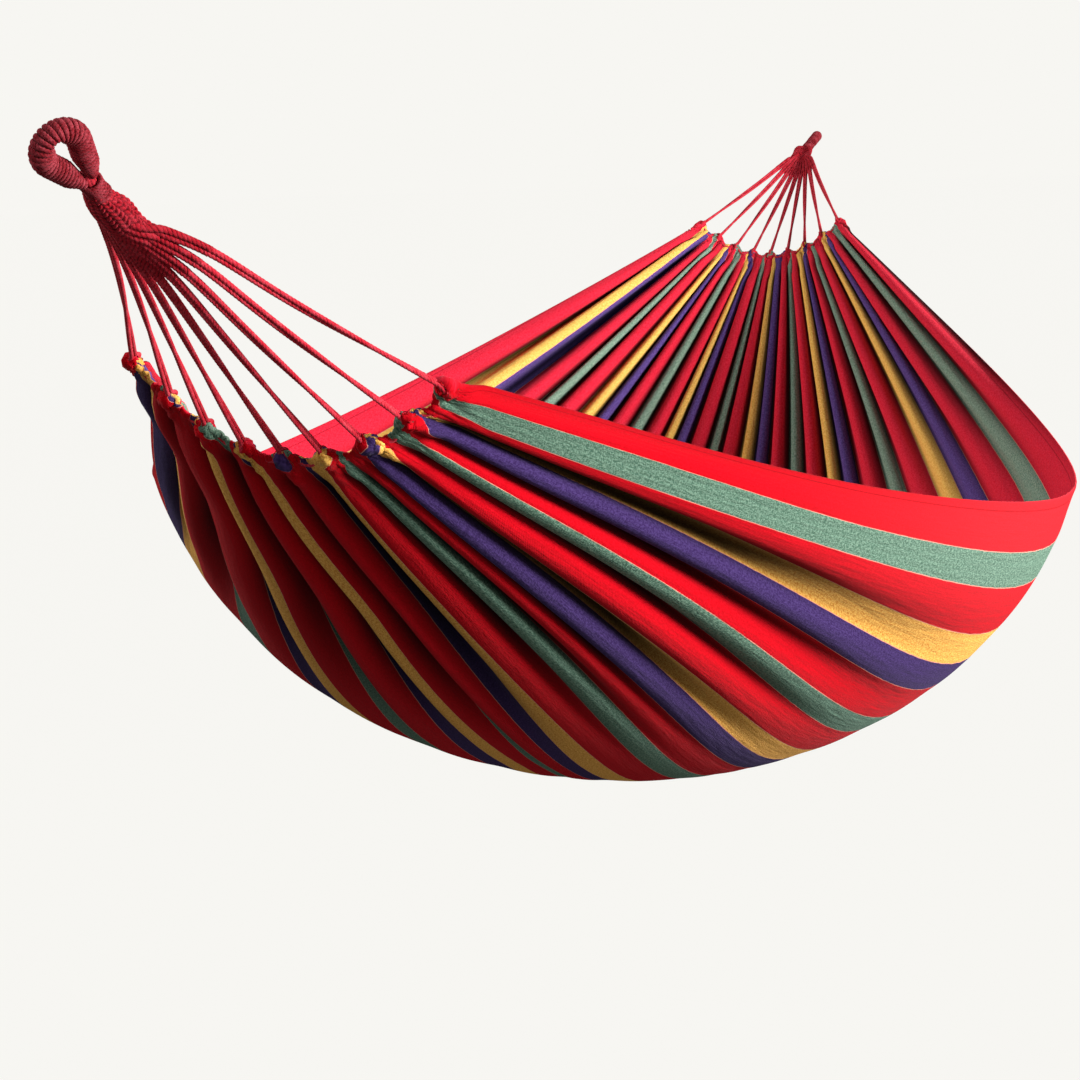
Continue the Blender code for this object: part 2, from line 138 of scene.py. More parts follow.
def hung_cloth(along, across):
    """Smooth form of the bed: straight runs from end line to end line, sagging to an open arc halfway."""
    along, across = np.broadcast_arrays(along, across)
    reach = CORD_REACH - HEM_TOP + drawcord_drop(across)
    near_end = NECKS["near"] + reach[..., None] * cord_ray("near", across)
    far_end = NECKS["far"] + reach[..., None] * cord_ray("far", across)
    run = near_end * (1 - along)[..., None] + far_end * along[..., None]
    wide = HALF_BEAM * np.sin(SECTION_SWEEP * across) / math.sin(SECTION_SWEEP)
    rise = RIM_RISE * (1 - np.cos(SECTION_SWEEP * across)) / (1 - math.cos(SECTION_SWEEP))
    middle = (NECKS["near"] + NECKS["far"]) / 2 - np.array([0.0, 0.0, KEEL_DROP])
    section = middle + np.stack([np.zeros_like(wide), wide, rise], -1)
    sag = section - (near_end + far_end) / 2
    powers = (LENGTH_FULLNESS, BEAM_FULLNESS, SAG_FULLNESS)
    return run + sag * np.stack([fullness(along, power) for power in powers], -1)


LOW_DRAW = 0.030
LOW_SLACK = 0.065
HIGH_DRAW = 0.015
HIGH_SLACK = 0.053
CORNER_DRAW = 0.025
RIM_DRAW = 0.012


def uneven_hang(share, along):
    """Where a share of the cloth's width lies across the bed, 0 to 1. The low side is drawn to its edge
    at the near end and away from it halfway along, and the high side is drawn to the middle. At the near
    end the high corner and the strip by the low rim are drawn to their edges."""
    low = (LOW_SLACK * smooth((along - 0.08) / 0.36) - LOW_DRAW) * smooth((0.66 - along) / 0.16)
    high = (HIGH_SLACK * smooth(along / 0.12) + HIGH_DRAW) * smooth((0.58 - along) / 0.25)
    low_shape = smooth(share / 0.20) * smooth((0.62 - share) / 0.30)
    high_shape = smooth((share - 0.44) / 0.18) * smooth((1 - share) / 0.25)
    corner = CORNER_DRAW * smooth((share - 0.75) / 0.12) * smooth((1 - share) / 0.05)
    rim = RIM_DRAW * smooth(share / 0.035) * smooth((0.075 - share) / 0.037)
    shift = low * low_shape - high * high_shape
    return share + shift + corner * (1 - smooth(along / 0.09)) - rim * (1 - smooth(along / 0.25))


# Valleys and ridges of the outer face by turns, in repeats of the stripes from the low side.
# The far end's lie alike in each repeat, apart from the last.
NEAR_FOLDS = [
    -0.30, 0.34, 0.79, 0.94, 1.06, 1.28, 1.44, 1.55, 1.79, 1.95, 2.04, 2.13, 2.23, 2.33, 2.44, 2.60,
    2.92, 3.12, 3.38, 3.735, 3.95, 4.14, 4.36, 4.735, 4.94, 5.13, 5.46, 5.66, 5.78, 5.93, 6.40]
FAR_REPEAT = [-0.087, 0.0, 0.12, 0.24, 0.33, 0.413, 0.533, 0.653, 0.74, 0.826]
FAR_FOLDS = [k + knot for k in range(6) for knot in FAR_REPEAT][:-3] + [5.70, 5.86, 5.99, 6.12, 6.40]
LEAST_STEEPNESS = 0.04
PLEAT_STEEPNESS = 1.58


def pleat_phase(share, knots):
    """Phase of pleats that follow the stripes: half a turn from each knot to the next, from a valley."""
    repeats = share * CLOTH_WIDTH / STRIPE_REPEAT
    return math.pi * (
        1 + sum(np.clip((repeats - a) / (b - a), 0, 1) for a, b in zip(knots[:-1], knots[1:])))


def fold_phase(share, along):
    """Phase of the pleats of the nearer of the two ends."""
    return np.where(along < 0.5, pleat_phase(share, NEAR_FOLDS), pleat_phase(share, FAR_FOLDS))


def fold_steepness(share, along):
    """Steepest slope of the pleats: held flat by the hem, steep behind it, and dying out where the bed is
    fullest."""
    from_end = np.minimum(along, 1 - along) * CLOTH_LENGTH
    fade = np.where(along < 0.5, 0.66 + 0.34 * (1 - smooth(share / 0.45)), 1.05)
    steep = LEAST_STEEPNESS + PLEAT_STEEPNESS * (1 - smooth((from_end / fade - 0.14) / 0.85))
    vary = 1 + 0.10 * np.sin(23.2 * share + 0.5) + 0.08 * np.sin(58.4 * share + 2.2)
    edge = 1 - 0.75 * smooth((share - 0.955) / 0.02) * (1 - smooth(from_end / 0.08))
    return steep * vary * edge * (0.15 + 0.85 * smooth((from_end - 0.003) / 0.05))


def fold_slope(share, along):
    """Slope of the cloth across its width: a wave for each pleat, broad on the ridge that shows outside at
    the near end and inside at the far end, and narrow between."""
    phase = fold_phase(share, along)
    keen = np.where(along < 0.5, -0.65, 0.40 * np.exp(-(1 - along) * CLOTH_LENGTH / 0.60))
    return fold_steepness(share, along) * np.sin(phase + keen * np.sin(phase))


def over_a_pleat(values):
    """Mean of a row's values over half a repeat of the stripes, from running sums."""
    window = round(ACROSS_STEPS * STRIPE_REPEAT / CLOTH_WIDTH / 2)
    padded = np.pad(values, ((0, 0), (window, window)), mode="reflect")
    sums = np.cumsum(np.pad(padded, ((0, 0), (1, 0))), axis=1)
    mean = (sums[:, window:] - sums[:, :-window]) / window
    return mean[:, window // 2:window // 2 + values.shape[1]]


def folded_cloth(share, along):
    """Folds laid on the hung form: the sums of the cosine and the sine of the slope give each point's place
    across and its depth, with the mean place kept even and the ridges kept at the form."""
    slope = fold_slope(share[None, :], along[:, None])
    fine_across = np.linspace(-1, 1, 400)
    base = hung_cloth(along[:, None], fine_across[None, :])
    lengths = np.linalg.norm(np.diff(base, axis=1), axis=2)
    lengths = np.concatenate([np.zeros((len(along), 1)), np.cumsum(lengths, axis=1)], axis=1)
    widths = lengths[:, -1:]
    over = np.cumsum(np.cos(slope), axis=1)
    step = widths / (over[:, -1:] - over[:, :1])
    over = (over - over[:, :1]) / (over[:, -1:] - over[:, :1])
    even = np.repeat(share[None, :], len(along), axis=0)
    over = np.clip(over + over_a_pleat(even) - over_a_pleat(over), 0, 1)
    lift = np.cumsum(np.sin(slope), axis=1) * step
    lift = lift - over_a_pleat(lift)
    window = 29
    padded = np.pad(lift, ((0, 0), (window // 2, window // 2)), mode="edge")
    ridge = over_a_pleat(np.lib.stride_tricks.sliding_window_view(padded, window, axis=1).min(-1))
    over = uneven_hang(over, along[:, None])
    places = [np.interp(over[k] * widths[k], lengths[k], fine_across) for k in range(len(along))]
    return np.array(places), lift - ridge


def cloth_crumple(share, from_end):
    """Small crumples near the hem: crossing sine waves of uneven length."""
    u = share * CLOTH_WIDTH
    v = from_end
    waves = np.sin(310 * u + 3 * np.sin(90 * v)) * np.sin(240 * v + 40 * u + 1.0)
    waves = waves + 0.7 * np.sin(170 * u - 200 * v + 2 * np.sin(60 * u))
    return waves + 0.5 * np.sin(95 * u + 130 * v + 0.4)


ROW_CROWDING = 0.82
HEM_ROWS = np.array([0.0, 0.0002, 0.0007])
share = np.linspace(0, 1, ACROSS_STEPS + 1)
share_row = share[None, :]
rows = np.linspace(0, 1, ALONG_STEPS + 1)
along = rows - ROW_CROWDING / (2 * math.pi) * np.sin(2 * math.pi * rows)
along = np.concatenate([HEM_ROWS, along[1:-1], 1 - HEM_ROWS[::-1]])
along_column = along[:, None]
row_count = len(along)
column_count = len(share)
from_end = np.minimum(along_column, 1 - along_column) * CLOTH_LENGTH
from_edge = np.minimum(share_row, 1 - share_row) * CLOTH_WIDTH
places, lift = folded_cloth(share, along)
base = hung_cloth(along_column, places)
nudge = 1e-4
down = hung_cloth(along_column + nudge, places) - hung_cloth(along_column - nudge, places)
over = hung_cloth(along_column, places + nudge) - hung_cloth(along_column, places - nudge)
smooth_normal = unit(np.cross(down, over))

# Each cord bunches the hem into a tuft, with a slack puff behind it: hold is 1 at a cord and 0 between two.
TUFT_RISE = 0.0020
TUFT_HALF = 0.0052
PUFF_RISE = 0.0030
PUFF_HALF = 0.0022
RUFFLE_HEIGHT = 0.0013
RUFFLE_PITCH = 0.0105
CRUMPLE_HEIGHT = 0.0006
TUFT_CRUMPLE = 0.0008
hold = np.cos(math.pi * (CORD_COUNT - 1) * (places + 1) / 2) ** 2
tuft = hold ** 3 * np.exp(-((from_end - 0.009) / 0.009) ** 2)
puff = hold ** 2 * np.exp(-((from_end - 0.027) / 0.010) ** 2)
ruffle = RUFFLE_HEIGHT * np.sin(2 * math.pi * from_end / RUFFLE_PITCH + 5 * np.sin(60 * share_row))
ruffle = ruffle * hold * np.exp(-from_end / 0.026)
crumple = (CRUMPLE_HEIGHT + TUFT_CRUMPLE * tuft) * cloth_crumple(share_row, from_end)
crumple = ruffle + crumple * np.exp(-from_end / 0.05)

# The keel hangs a little above the form, and the high side of the near half inside it.
KEEL_DRAW = 0.010
SIDE_DRAW = 0.014
drawn_up = KEEL_DRAW * smooth((from_end - 0.25) / 0.45) * (1 - (2 * share_row - 1) ** 2)
drawn_in = SIDE_DRAW * smooth((share_row - 0.72) / 0.2) * smooth((from_end - 0.06) / 0.12)
drawn_in = np.where(along_column < 0.5, drawn_in * smooth((0.75 - from_end) / 0.3), 0)
inward = lift + drawn_up + drawn_in - TUFT_RISE * tuft - PUFF_RISE * puff + crumple
middle_layer = base + smooth_normal * inward[..., None]
normal = unit(np.cross(np.gradient(middle_layer, along, axis=0), np.gradient(middle_layer, axis=1)))
tunnel = np.exp(-(from_end / 0.014) ** 4)
selvage = np.exp(-(from_edge / 0.006) ** 2) * (1 - tunnel)
half = CLOTH_HALF + (TUNNEL_HALF - CLOTH_HALF) * tunnel + (SELVAGE_HALF - CLOTH_HALF) * selvage
half = half + TUFT_HALF * tuft + PUFF_HALF * puff
half = half * np.sqrt(1 - (1 - np.clip(from_end / 0.004, 0.03, 1)) ** 2)
outer = middle_layer - normal * half[..., None]
inner = middle_layer + normal * half[..., None]


def edge_round(column, outwards):
    """Half round along a selvage, from the outer face to the inner one."""
    turn = np.radians([-45, 0, 45])
    spread = half[:, column, None, None]
    face = normal[:, column, None, :] * np.sin(turn)[None, :, None]
    edge = outwards[:, None, :] * np.cos(turn)[None, :, None]
    return middle_layer[:, column, None, :] + spread * (face + edge)


low_side = unit(middle_layer[:, 0] - middle_layer[:, 1])
high_side = unit(middle_layer[:, -1] - middle_layer[:, -2])
high_round = edge_round(-1, high_side)
low_round = edge_round(0, low_side)[:, ::-1]
rings = np.concatenate([outer, high_round, inner[:, ::-1], low_round], axis=1)

# At the hem the stripes are drawn towards the nearer edge of the cloth where a cord holds it.
STRIPE_DRAW = 0.050
drawn = STRIPE_DRAW * np.exp(-from_end / 0.015) * hold * smooth(from_edge / 0.08)
stripe_place = np.clip(share_row + np.where(share_row < 0.5, drawn, -drawn), 0.002, 0.998)

# The mesh's folds are shallower than the cloth's, so their depths are darkened, over more of each fold
# The outer face is painted a little paler along the middle of its edges, as a painted highlight.
DEEP_STEEPNESS = 1.25
HIGHLIGHT_SHARE = 0.018
valley = (1 - np.cos(fold_phase(share_row, along_column))) / 2
deep = np.clip(fold_steepness(share_row, along_column) / DEEP_STEEPNESS, 0, 1)
outer_shade = deep * valley ** (2.1 - 1.2 * smooth((share_row - 0.22) / 0.2))
inner_shade = deep * (1 - valley) ** 4.5
highlight_middle = smooth((along_column - 0.12) / 0.28) * smooth((0.90 - along_column) / 0.28)
highlight_edge = 1 - smooth((from_edge / CLOTH_WIDTH - 0.03) / 0.12)
outer_highlight = HIGHLIGHT_SHARE * highlight_middle * highlight_edge


def two_faces(outer_values, inner_values):
    """Values of the outer and the inner face carried round the cloth and its two selvages."""
    high_turn = [outer_values[:, -1:], outer_values[:, -1:], inner_values[:, -1:]]
    low_turn = [inner_values[:, :1], outer_values[:, :1], outer_values[:, :1]]
    return np.concatenate([outer_values] + high_turn + [inner_values[:, ::-1]] + low_turn, axis=1)


def grid_faces(row_count, column_count, closed):
    """Quads of a grid of points, row by row; closed joins the last column to the first."""
    wrap = column_count if closed else column_count - 1
    row, column = np.meshgrid(np.arange(row_count - 1), np.arange(wrap), indexing="ij")
    following = (column + 1) % column_count
    corners = [row * column_count + column, row * column_count + following]
    corners += [(row + 1) * column_count + following, (row + 1) * column_count + column]
    return np.stack(corners, -1).reshape(-1, 4)


def add_piece(name, points, faces, uv, values, material):
    """Smooth mesh object from its points and faces, with a UV map and named values at its points."""
    mesh = bpy.data.meshes.new(name)
    mesh.from_pydata(points.tolist(), [], [list(face) for face in faces])
    layer = mesh.uv_layers.new(name="UVMap")
    corner = np.empty(len(mesh.loops), dtype=np.int32)
    mesh.loops.foreach_get("vertex_index", corner)
    layer.data.foreach_set("uv", uv[corner].astype(np.float32).ravel())
    for key, value in values.items():
        held = mesh.attributes.new(key, "FLOAT", "POINT")
        held.data.foreach_set("value", value.astype(np.float32).ravel())
    mesh.materials.append(material)
    mesh.shade_smooth()
    item = bpy.data.objects.new(name, mesh)
    bpy.context.scene.collection.objects.link(item)
    return item


def place_node(tree, kind, inputs=None, **settings):
    """Shader node of a kind with its settings; each input is a value or another node's socket."""
    node = tree.nodes.new(kind)
    for key, value in settings.items():
        setattr(node, key, value)
    for key, value in (inputs or {}).items():
        if isinstance(value, bpy.types.NodeSocket):
            tree.links.new(value, node.inputs[key])
        else:
            node.inputs[key].default_value = value
    return node


def reckon(tree, operation, *values):
    """Result of one operation on values or sockets."""
    return place_node(tree, "ShaderNodeMath", dict(enumerate(values)), operation=operation).outputs[0]


def ranged(tree, value, low, high, to_low=0.0, to_high=1.0):
    """A value between low and high carried to the range between two others."""
    limits = {"From Min": low, "From Max": high, "To Min": to_low, "To Max": to_high}
    return place_node(tree, "ShaderNodeMapRange", {"Value": value, **limits}).outputs[0]


def noise_at(tree, place, scale, detail):
    """Noise value at a place."""
    inputs = {"Vector": place, "Scale": scale, "Detail": detail}
    return place_node(tree, "ShaderNodeTexNoise", inputs).outputs["Fac"]


def stretched(tree, place, across, along):
    """A place on the cloth scaled apart across it and along it."""
    inputs = {"Vector": place, "Scale": (across, along, 1.0)}
    return place_node(tree, "ShaderNodeMapping", inputs).outputs[0]


def mix_colours(tree, factor, first, second):
    """Colour between two, each a value or a socket."""
    inputs = {"Factor": factor, 6: first, 7: second}
    return place_node(tree, "ShaderNodeMix", inputs, data_type="RGBA").outputs[2]


def point_value(tree, name):
    """Value that a mesh holds at its points."""
    return place_node(tree, "ShaderNodeAttribute", attribute_name=name).outputs["Fac"]


def dye(red, green, blue):
    """Colour as it shows, 0 to 255 in each, as the linear values that a shader takes."""
    shown = np.array([red, green, blue]) / 255
    linear = np.where(shown <= 0.04045, shown / 12.92, ((shown + 0.055) / 1.055) ** 2.4)
    return (*linear.tolist(), 1.0)


def make_yarn_group():
    """Plain weave of slubby yarn: crossing waves in both directions and lengthwise crinkles for the height,
    and flecks drawn out along the warp and the weft for the colour."""
    group = bpy.data.node_groups.new("slub_yarn", "ShaderNodeTree")
    group.interface.new_socket("Vector", in_out="INPUT", socket_type="NodeSocketVector")
    group.interface.new_socket("Threads", in_out="INPUT", socket_type="NodeSocketFloat")
    group.interface.new_socket("Height", in_out="OUTPUT", socket_type="NodeSocketFloat")
    group.interface.new_socket("Fleck", in_out="OUTPUT", socket_type="NodeSocketFloat")
    entry = place_node(group, "NodeGroupInput")
    exit_node = place_node(group, "NodeGroupOutput")
    place = entry.outputs["Vector"]
    scale = {0: place, "Scale": entry.outputs["Threads"]}
    scaled = place_node(group, "ShaderNodeVectorMath", scale, operation="SCALE")
    parts = place_node(group, "ShaderNodeSeparateXYZ", {0: scaled.outputs[0]})
    warp = reckon(group, "SINE", parts.outputs["X"])
    weft = reckon(group, "SINE", parts.outputs["Y"])
    cross = reckon(group, "MULTIPLY", warp, weft)
    warp_slub = noise_at(group, stretched(group, place, 720.0, 240.0), 1.0, 2.0)
    weft_slub = noise_at(group, stretched(group, place, 260.0, 760.0), 1.0, 2.0)
    crinkle = noise_at(group, stretched(group, place, 150.0, 16.0), 1.0, 3.0)
    slub = reckon(group, "ADD", warp_slub, weft_slub)
    weave = reckon(group, "MULTIPLY_ADD", cross, 0.25, slub)
    height = reckon(group, "MULTIPLY_ADD", crinkle, 4.0, weave)
    group.links.new(height, exit_node.inputs["Height"])
    group.links.new(ranged(group, slub, 0.84, 1.20), exit_node.inputs["Fleck"])
    return group


# The inner face's colours are the outer face's painted paler: painted light on the inside of the bed.
OUTER_FACE = dict(
    order=("red", "green", "red", "yellow", "purple"),
    grounds=dict(
        red=dye(191, 11, 26), green=dye(64, 94, 78), yellow=dye(246, 192, 98), purple=dye(48, 32, 73)),
    flecks=dict(
        red=dye(176, 5, 18), green=dye(118, 146, 126), yellow=dye(202, 128, 48), purple=dye(71, 53, 102)))
INNER_FACE = dict(
    order=("red", "green", "red", "purple", "yellow"),
    grounds=dict(
        red=dye(212, 46, 66), green=dye(92, 120, 102), yellow=dye(236, 194, 104), purple=dye(72, 52, 108)),
    flecks=dict(
        red=dye(196, 24, 44), green=dye(136, 158, 140), yellow=dye(212, 156, 68), purple=dye(96, 76, 138)))
PALE_THREAD = dye(214, 140, 122)
THREAD_SHARE = 0.004
# Pale pink mixed into the outer face along its edges: a painted highlight.
PAINTED_HIGHLIGHT = dye(236, 222, 224)
YARN_PITCH = 0.0022
SEAM_INSET = 0.010
SEAM_HALF = 0.0008


def stripe_ramp(tree, place, colours):
    """Five stripes of one repeat, each a flat colour with a pale thread at its end: two wide reds and three
    narrower stripes."""
    ramp = place_node(tree, "ShaderNodeValToRGB", {"Fac": place})
    ramp.color_ramp.interpolation = "CONSTANT"
    stops = ramp.color_ramp.elements
    while len(stops) < 2 * len(colours):
        stops.new(1.0)
    widths = [RED_STRIPE, NARROW_STRIPE, RED_STRIPE, NARROW_STRIPE, NARROW_STRIPE]
    ends = (np.cumsum(widths) / STRIPE_REPEAT).tolist()
    threads = list(zip([0.0] + ends[:-1], colours))
    threads += [(end - THREAD_SHARE, PALE_THREAD) for end in ends]
    for stop, (position, colour) in zip(stops, sorted(threads)):
        stop.position = position
        stop.color = colour
    return ramp.outputs["Color"]


def face_ramps(tree, place, face):
    """Ground and fleck colours of one face's stripes."""
    return [stripe_ramp(tree, place, [face[kind][name] for name in face["order"]])
            for kind in ("grounds", "flecks")]


def matt_cotton(shader, roughness):
    """The constants of dull cotton on a shader: no gloss and a faint sheen."""
    shader.inputs["Roughness"].default_value = roughness
    shader.inputs["Specular IOR Level"].default_value = 0.0
    shader.inputs["Sheen Weight"].default_value = 0.03
    shader.inputs["Sheen Roughness"].default_value = 0.5


def make_canvas():
    """Striped cotton: yarn-dyed stripes in two orders, one for each face, flecked and slightly uneven,
    with a row of stitches along each selvage."""
    material = bpy.data.materials.new("striped_canvas")
    material.use_nodes = True
    tree = material.node_tree
    shader = tree.nodes["Principled BSDF"]
    uv = place_node(tree, "ShaderNodeUVMap", uv_map="UVMap").outputs[0]
    threads = {"Vector": uv, "Threads": 2 * math.pi / YARN_PITCH}
    yarn = place_node(tree, "ShaderNodeGroup", threads, node_tree=make_yarn_group())
    shift = ranged(tree, noise_at(tree, uv, 60.0, 3.0), 0.0, 1.0, -0.0004, 0.0004)
    placed = reckon(tree, "ADD", point_value(tree, "stripe"), shift)
    in_repeat = reckon(tree, "FRACT", reckon(tree, "MULTIPLY", placed, CLOTH_WIDTH / STRIPE_REPEAT))
    # The inner face's ramps are painted paler than the outer face's: painted light.
    outer_ground, outer_flecks = face_ramps(tree, in_repeat, OUTER_FACE)
    inner_ground, inner_flecks = face_ramps(tree, in_repeat, INNER_FACE)
    inside = point_value(tree, "inside")
    ground = mix_colours(tree, inside, outer_ground, inner_ground)
    flecks = mix_colours(tree, inside, outer_flecks, inner_flecks)
    cloth = mix_colours(tree, yarn.outputs["Fleck"], ground, flecks)
    # Painted highlight: the cloth's colour is mixed towards pale pink by the fade value.
    highlighted = mix_colours(tree, point_value(tree, "fade"), cloth, PAINTED_HIGHLIGHT)
    shaded = ranged(tree, point_value(tree, "shade"), 0.0, 1.0, 1.0, 0.03)
    width_place = place_node(tree, "ShaderNodeSeparateXYZ", {0: uv}).outputs["X"]
    from_middle = reckon(tree, "ABSOLUTE", reckon(tree, "SUBTRACT", width_place, CLOTH_WIDTH / 2))
    seam = reckon(tree, "COMPARE", from_middle, CLOTH_WIDTH / 2 - SEAM_INSET, SEAM_HALF)
    dimmed = reckon(tree, "MULTIPLY", shaded, reckon(tree, "MULTIPLY_ADD", seam, -0.35, 1.0))
    colour_with_painted_light = place_node(tree, "ShaderNodeVectorMath", {0: highlighted, "Scale": dimmed}, operation="SCALE")
    tree.links.new(colour_with_painted_light.outputs[0], shader.inputs["Base Color"])
    relief = {"Strength": 0.6, "Distance": 0.0006, "Height": yarn.outputs["Height"]}
    tree.links.new(place_node(tree, "ShaderNodeBump", relief).outputs[0], shader.inputs["Normal"])
    matt_cotton(shader, 0.92)
    return material


ring_size = rings.shape[1]
last_ring = (row_count - 1) * ring_size
cloth_faces = grid_faces(row_count, ring_size, True)
first = np.arange(column_count - 1)
inner_place = 2 * column_count + 2 - first
start_cap = np.stack([first + 1, first, inner_place, inner_place - 1], -1)
end_cap = start_cap[:, ::-1] + last_ring
high_turn = np.arange(column_count - 1, column_count + 4)
low_turn = np.arange(2 * column_count + 2, 2 * column_count + 7) % ring_size
rounds = [turn[::-1].tolist() for turn in (high_turn, low_turn)]
rounds += [(turn + last_ring).tolist() for turn in (high_turn, low_turn)]
all_faces = np.concatenate([cloth_faces, start_cap, end_cap]).tolist() + rounds
uv_u = np.repeat(share_row * CLOTH_WIDTH, row_count, axis=0)
uv_v = np.repeat(along_column * CLOTH_LENGTH, column_count, axis=1)
edge_blend = [0.2, 0.5, 0.8]
inside_row = np.concatenate([np.zeros(column_count), edge_blend, np.ones(column_count), edge_blend[::-1]])
canvas = add_piece(
    "hung_canvas", rings.reshape(-1, 3), all_faces,
    np.stack([two_faces(uv_u, uv_u), two_faces(uv_v, uv_v)], -1).reshape(-1, 2),
    {
        "stripe": two_faces(stripe_place, stripe_place),
        "inside": np.repeat(inside_row[None, :], row_count, axis=0),
        # The shade value is painted shade in the folds, and the fade value a painted highlight on the outer
        # face.
        "shade": two_faces(outer_shade, inner_shade),
        "fade": two_faces(outer_highlight, 0 * outer_highlight),
    },
    make_canvas())
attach(canvas, "bed")
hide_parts("canvas_bed")


# End drawcords
# One thick twisted cotton cord at each end, run through the tunnel in the end of the cloth.
# The cloth bunches on it, and a knot tucked in at each selvage keeps it in.

DRAWCORD_DIAMETER = 0.004
CORD_LAY = 0.011
KNOT_STEPS = np.array([0.0015, 0.0030, 0.0050, 0.0065])
KNOT_WIDTHS = np.array([1.0, 1.6, 1.6, 0.8])


def rope_skin(path, facing, thickness, lay, sides, grooves=3, groove_depth=0.16, widths=None):
    """Twisted rope along a path: rings round each point, measured from the facing side, with a radius that
    dips in sharp grooves which turn once round in each lay of the length. Returns points, crown and UV."""
    along_rope = unit(np.gradient(path, axis=0))
    first_side = unit(facing - along_rope * (facing * along_rope).sum(-1, keepdims=True))
    second_side = np.cross(along_rope, first_side)
    length = np.concatenate([[0], np.cumsum(np.linalg.norm(np.diff(path, axis=0), axis=1))])
    angle = np.arange(sides) * 2 * math.pi / sides
    crown = np.abs(np.cos(grooves / 2 * (angle[None, :] - 2 * math.pi * length[:, None] / lay))) ** 0.8
    radius = thickness / 2 * (1 - groove_depth * (1 - crown))
    if widths is not None:
        radius = radius * widths[:, None]
    ring = first_side[:, None] * np.cos(angle)[None, :, None]
    ring = ring + second_side[:, None] * np.sin(angle)[None, :, None]
    points = path[:, None] + ring * radius[..., None]
    uv = np.stack(np.broadcast_arrays(angle[None, :] / (2 * math.pi), length[:, None]), -1)
    return points, crown, uv


def tube_faces(row_count, sides):
    """Quads round a tube with a closing face at each end."""
    faces = grid_faces(row_count, sides, True).tolist()
    faces.append(list(range(sides))[::-1])
    faces.append([(row_count - 1) * sides + k for k in range(sides)])
    return faces


def add_ropes(name, skins, material):
    """One piece from several rope skins."""
    points, faces, uv, crowns = [], [], [], []
    start = 0
    for skin, crown, place in skins:
        rope_faces = tube_faces(*skin.shape[:2])
        faces += [[corner + start for corner in face] for face in rope_faces]
        points.append(skin.reshape(-1, 3))
        uv.append(place.reshape(-1, 2))
        crowns.append(crown.ravel())
        start += len(points[-1])
    values = {"crown": np.concatenate(crowns)}
    return add_piece(name, np.concatenate(points), faces, np.concatenate(uv), values, material)


def make_cotton_rope(name, crown_dye, groove_shade, fuzz_dye):
    """Dyed cotton rope: dark in its grooves by painted shade, lighter and slightly faded on its crowns,
    with fine fibres.
    """
    material = bpy.data.materials.new(name)
    material.use_nodes = True
    tree = material.node_tree
    shader = tree.nodes["Principled BSDF"]
    place = place_node(tree, "ShaderNodeTexCoord").outputs["Object"]
    fibre = noise_at(tree, place, 900.0, 3.0)
    mottle = noise_at(tree, place, 130.0, 2.0)
    on_crown = ranged(tree, point_value(tree, "crown"), 0.15, 0.75)
    # Painted shade: the darker groove colour is laid where the rope dips between its strands.
    body = mix_colours(tree, on_crown, groove_shade, crown_dye)
    faded = ranged(tree, reckon(tree, "MULTIPLY", fibre, mottle), 0.18, 0.42, 0.0, 0.6)
    tree.links.new(mix_colours(tree, faded, body, fuzz_dye), shader.inputs["Base Color"])
    relief = {"Strength": 0.4, "Distance": 0.0004, "Height": fibre}
    tree.links.new(place_node(tree, "ShaderNodeBump", relief).outputs[0], shader.inputs["Normal"])
    matt_cotton(shader, 0.9)
    return material


# Each rope's colours are its crown, painted shade in its grooves, and its paler flecks.
cord_cotton = make_cotton_rope("red_cord", dye(180, 34, 48), dye(116, 12, 22), dye(204, 82, 94))

for end in NECKS:
    across = np.linspace(-1, 1, 161)
    ray, side, face = fan_frame(end, across)
    path = NECKS[end] + ray * (CORD_REACH + drawcord_drop(across))[:, None]
    low_knot = path[0] - side[0] * KNOT_STEPS[::-1, None]
    high_knot = path[-1] + side[-1] * KNOT_STEPS[:, None]
    path = np.concatenate([low_knot, path, high_knot])
    widths = np.concatenate([KNOT_WIDTHS[::-1], np.ones(len(across)), KNOT_WIDTHS])
    knot_rings = len(KNOT_STEPS)
    facing = np.pad(face, ((knot_rings, knot_rings), (0, 0)), mode="edge")
    skin = rope_skin(path, facing, DRAWCORD_DIAMETER, CORD_LAY, 12, widths=widths)
    drawcord = add_ropes(f"{end}_drawn_cord", [skin], cord_cotton)
    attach(drawcord, "bed")
    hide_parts(f"{end}_drawcord")


# Clew cords
# Nine doubled cords at each end, twisted red cotton, that fan out from the plait to the cloth.
# Each is one length: down from the plait, round the drawcord inside the cloth's end, and up again.

STRAND_DIAMETER = 0.0036
STRAND_SIDES = 14
PLAIT_REACH = 0.0753
BIGHT_RADIUS = 0.0054
PAIR_HALF = 0.00168
PLAIT_SWELL = 0.22
CORD_STEP = 0.0008


def resample(path, step):
    """The same line as even points about a step apart."""
    length = np.concatenate([[0], np.cumsum(np.linalg.norm(np.diff(path, axis=0), axis=1))])
    even = np.linspace(0, length[-1], max(int(length[-1] / step), 2))
    return np.stack([np.interp(even, length, path[:, k]) for k in range(3)], -1)


def cord_route(end, across):
    """Doubled cord: two legs a strand apart, their pair turned by a quarter on the way down, joined by a
    half round under the drawcord."""
    ray, side, face = fan_frame(end, across)
    run = np.linspace(0, 1, 160)[:, None]
    angle = math.pi / 2 * smooth((run - 0.2) / 0.8)
    opened = PAIR_HALF + (BIGHT_RADIUS - PAIR_HALF) * smooth((run - 0.965) / 0.035)
    reach = PLAIT_REACH + (CORD_REACH - PLAIT_REACH) * run
    offset = (side * np.cos(angle) + face * np.sin(angle)) * opened
    middle = NECKS[end] + ray * reach + side * fan_spread(end, across, reach)
    turn = np.linspace(0, math.pi, 14)[1:-1, None]
    bight = middle[-1] + BIGHT_RADIUS * (ray * np.sin(turn) + face * np.cos(turn))
    return np.concatenate([middle + offset, bight, (middle - offset)[::-1]])


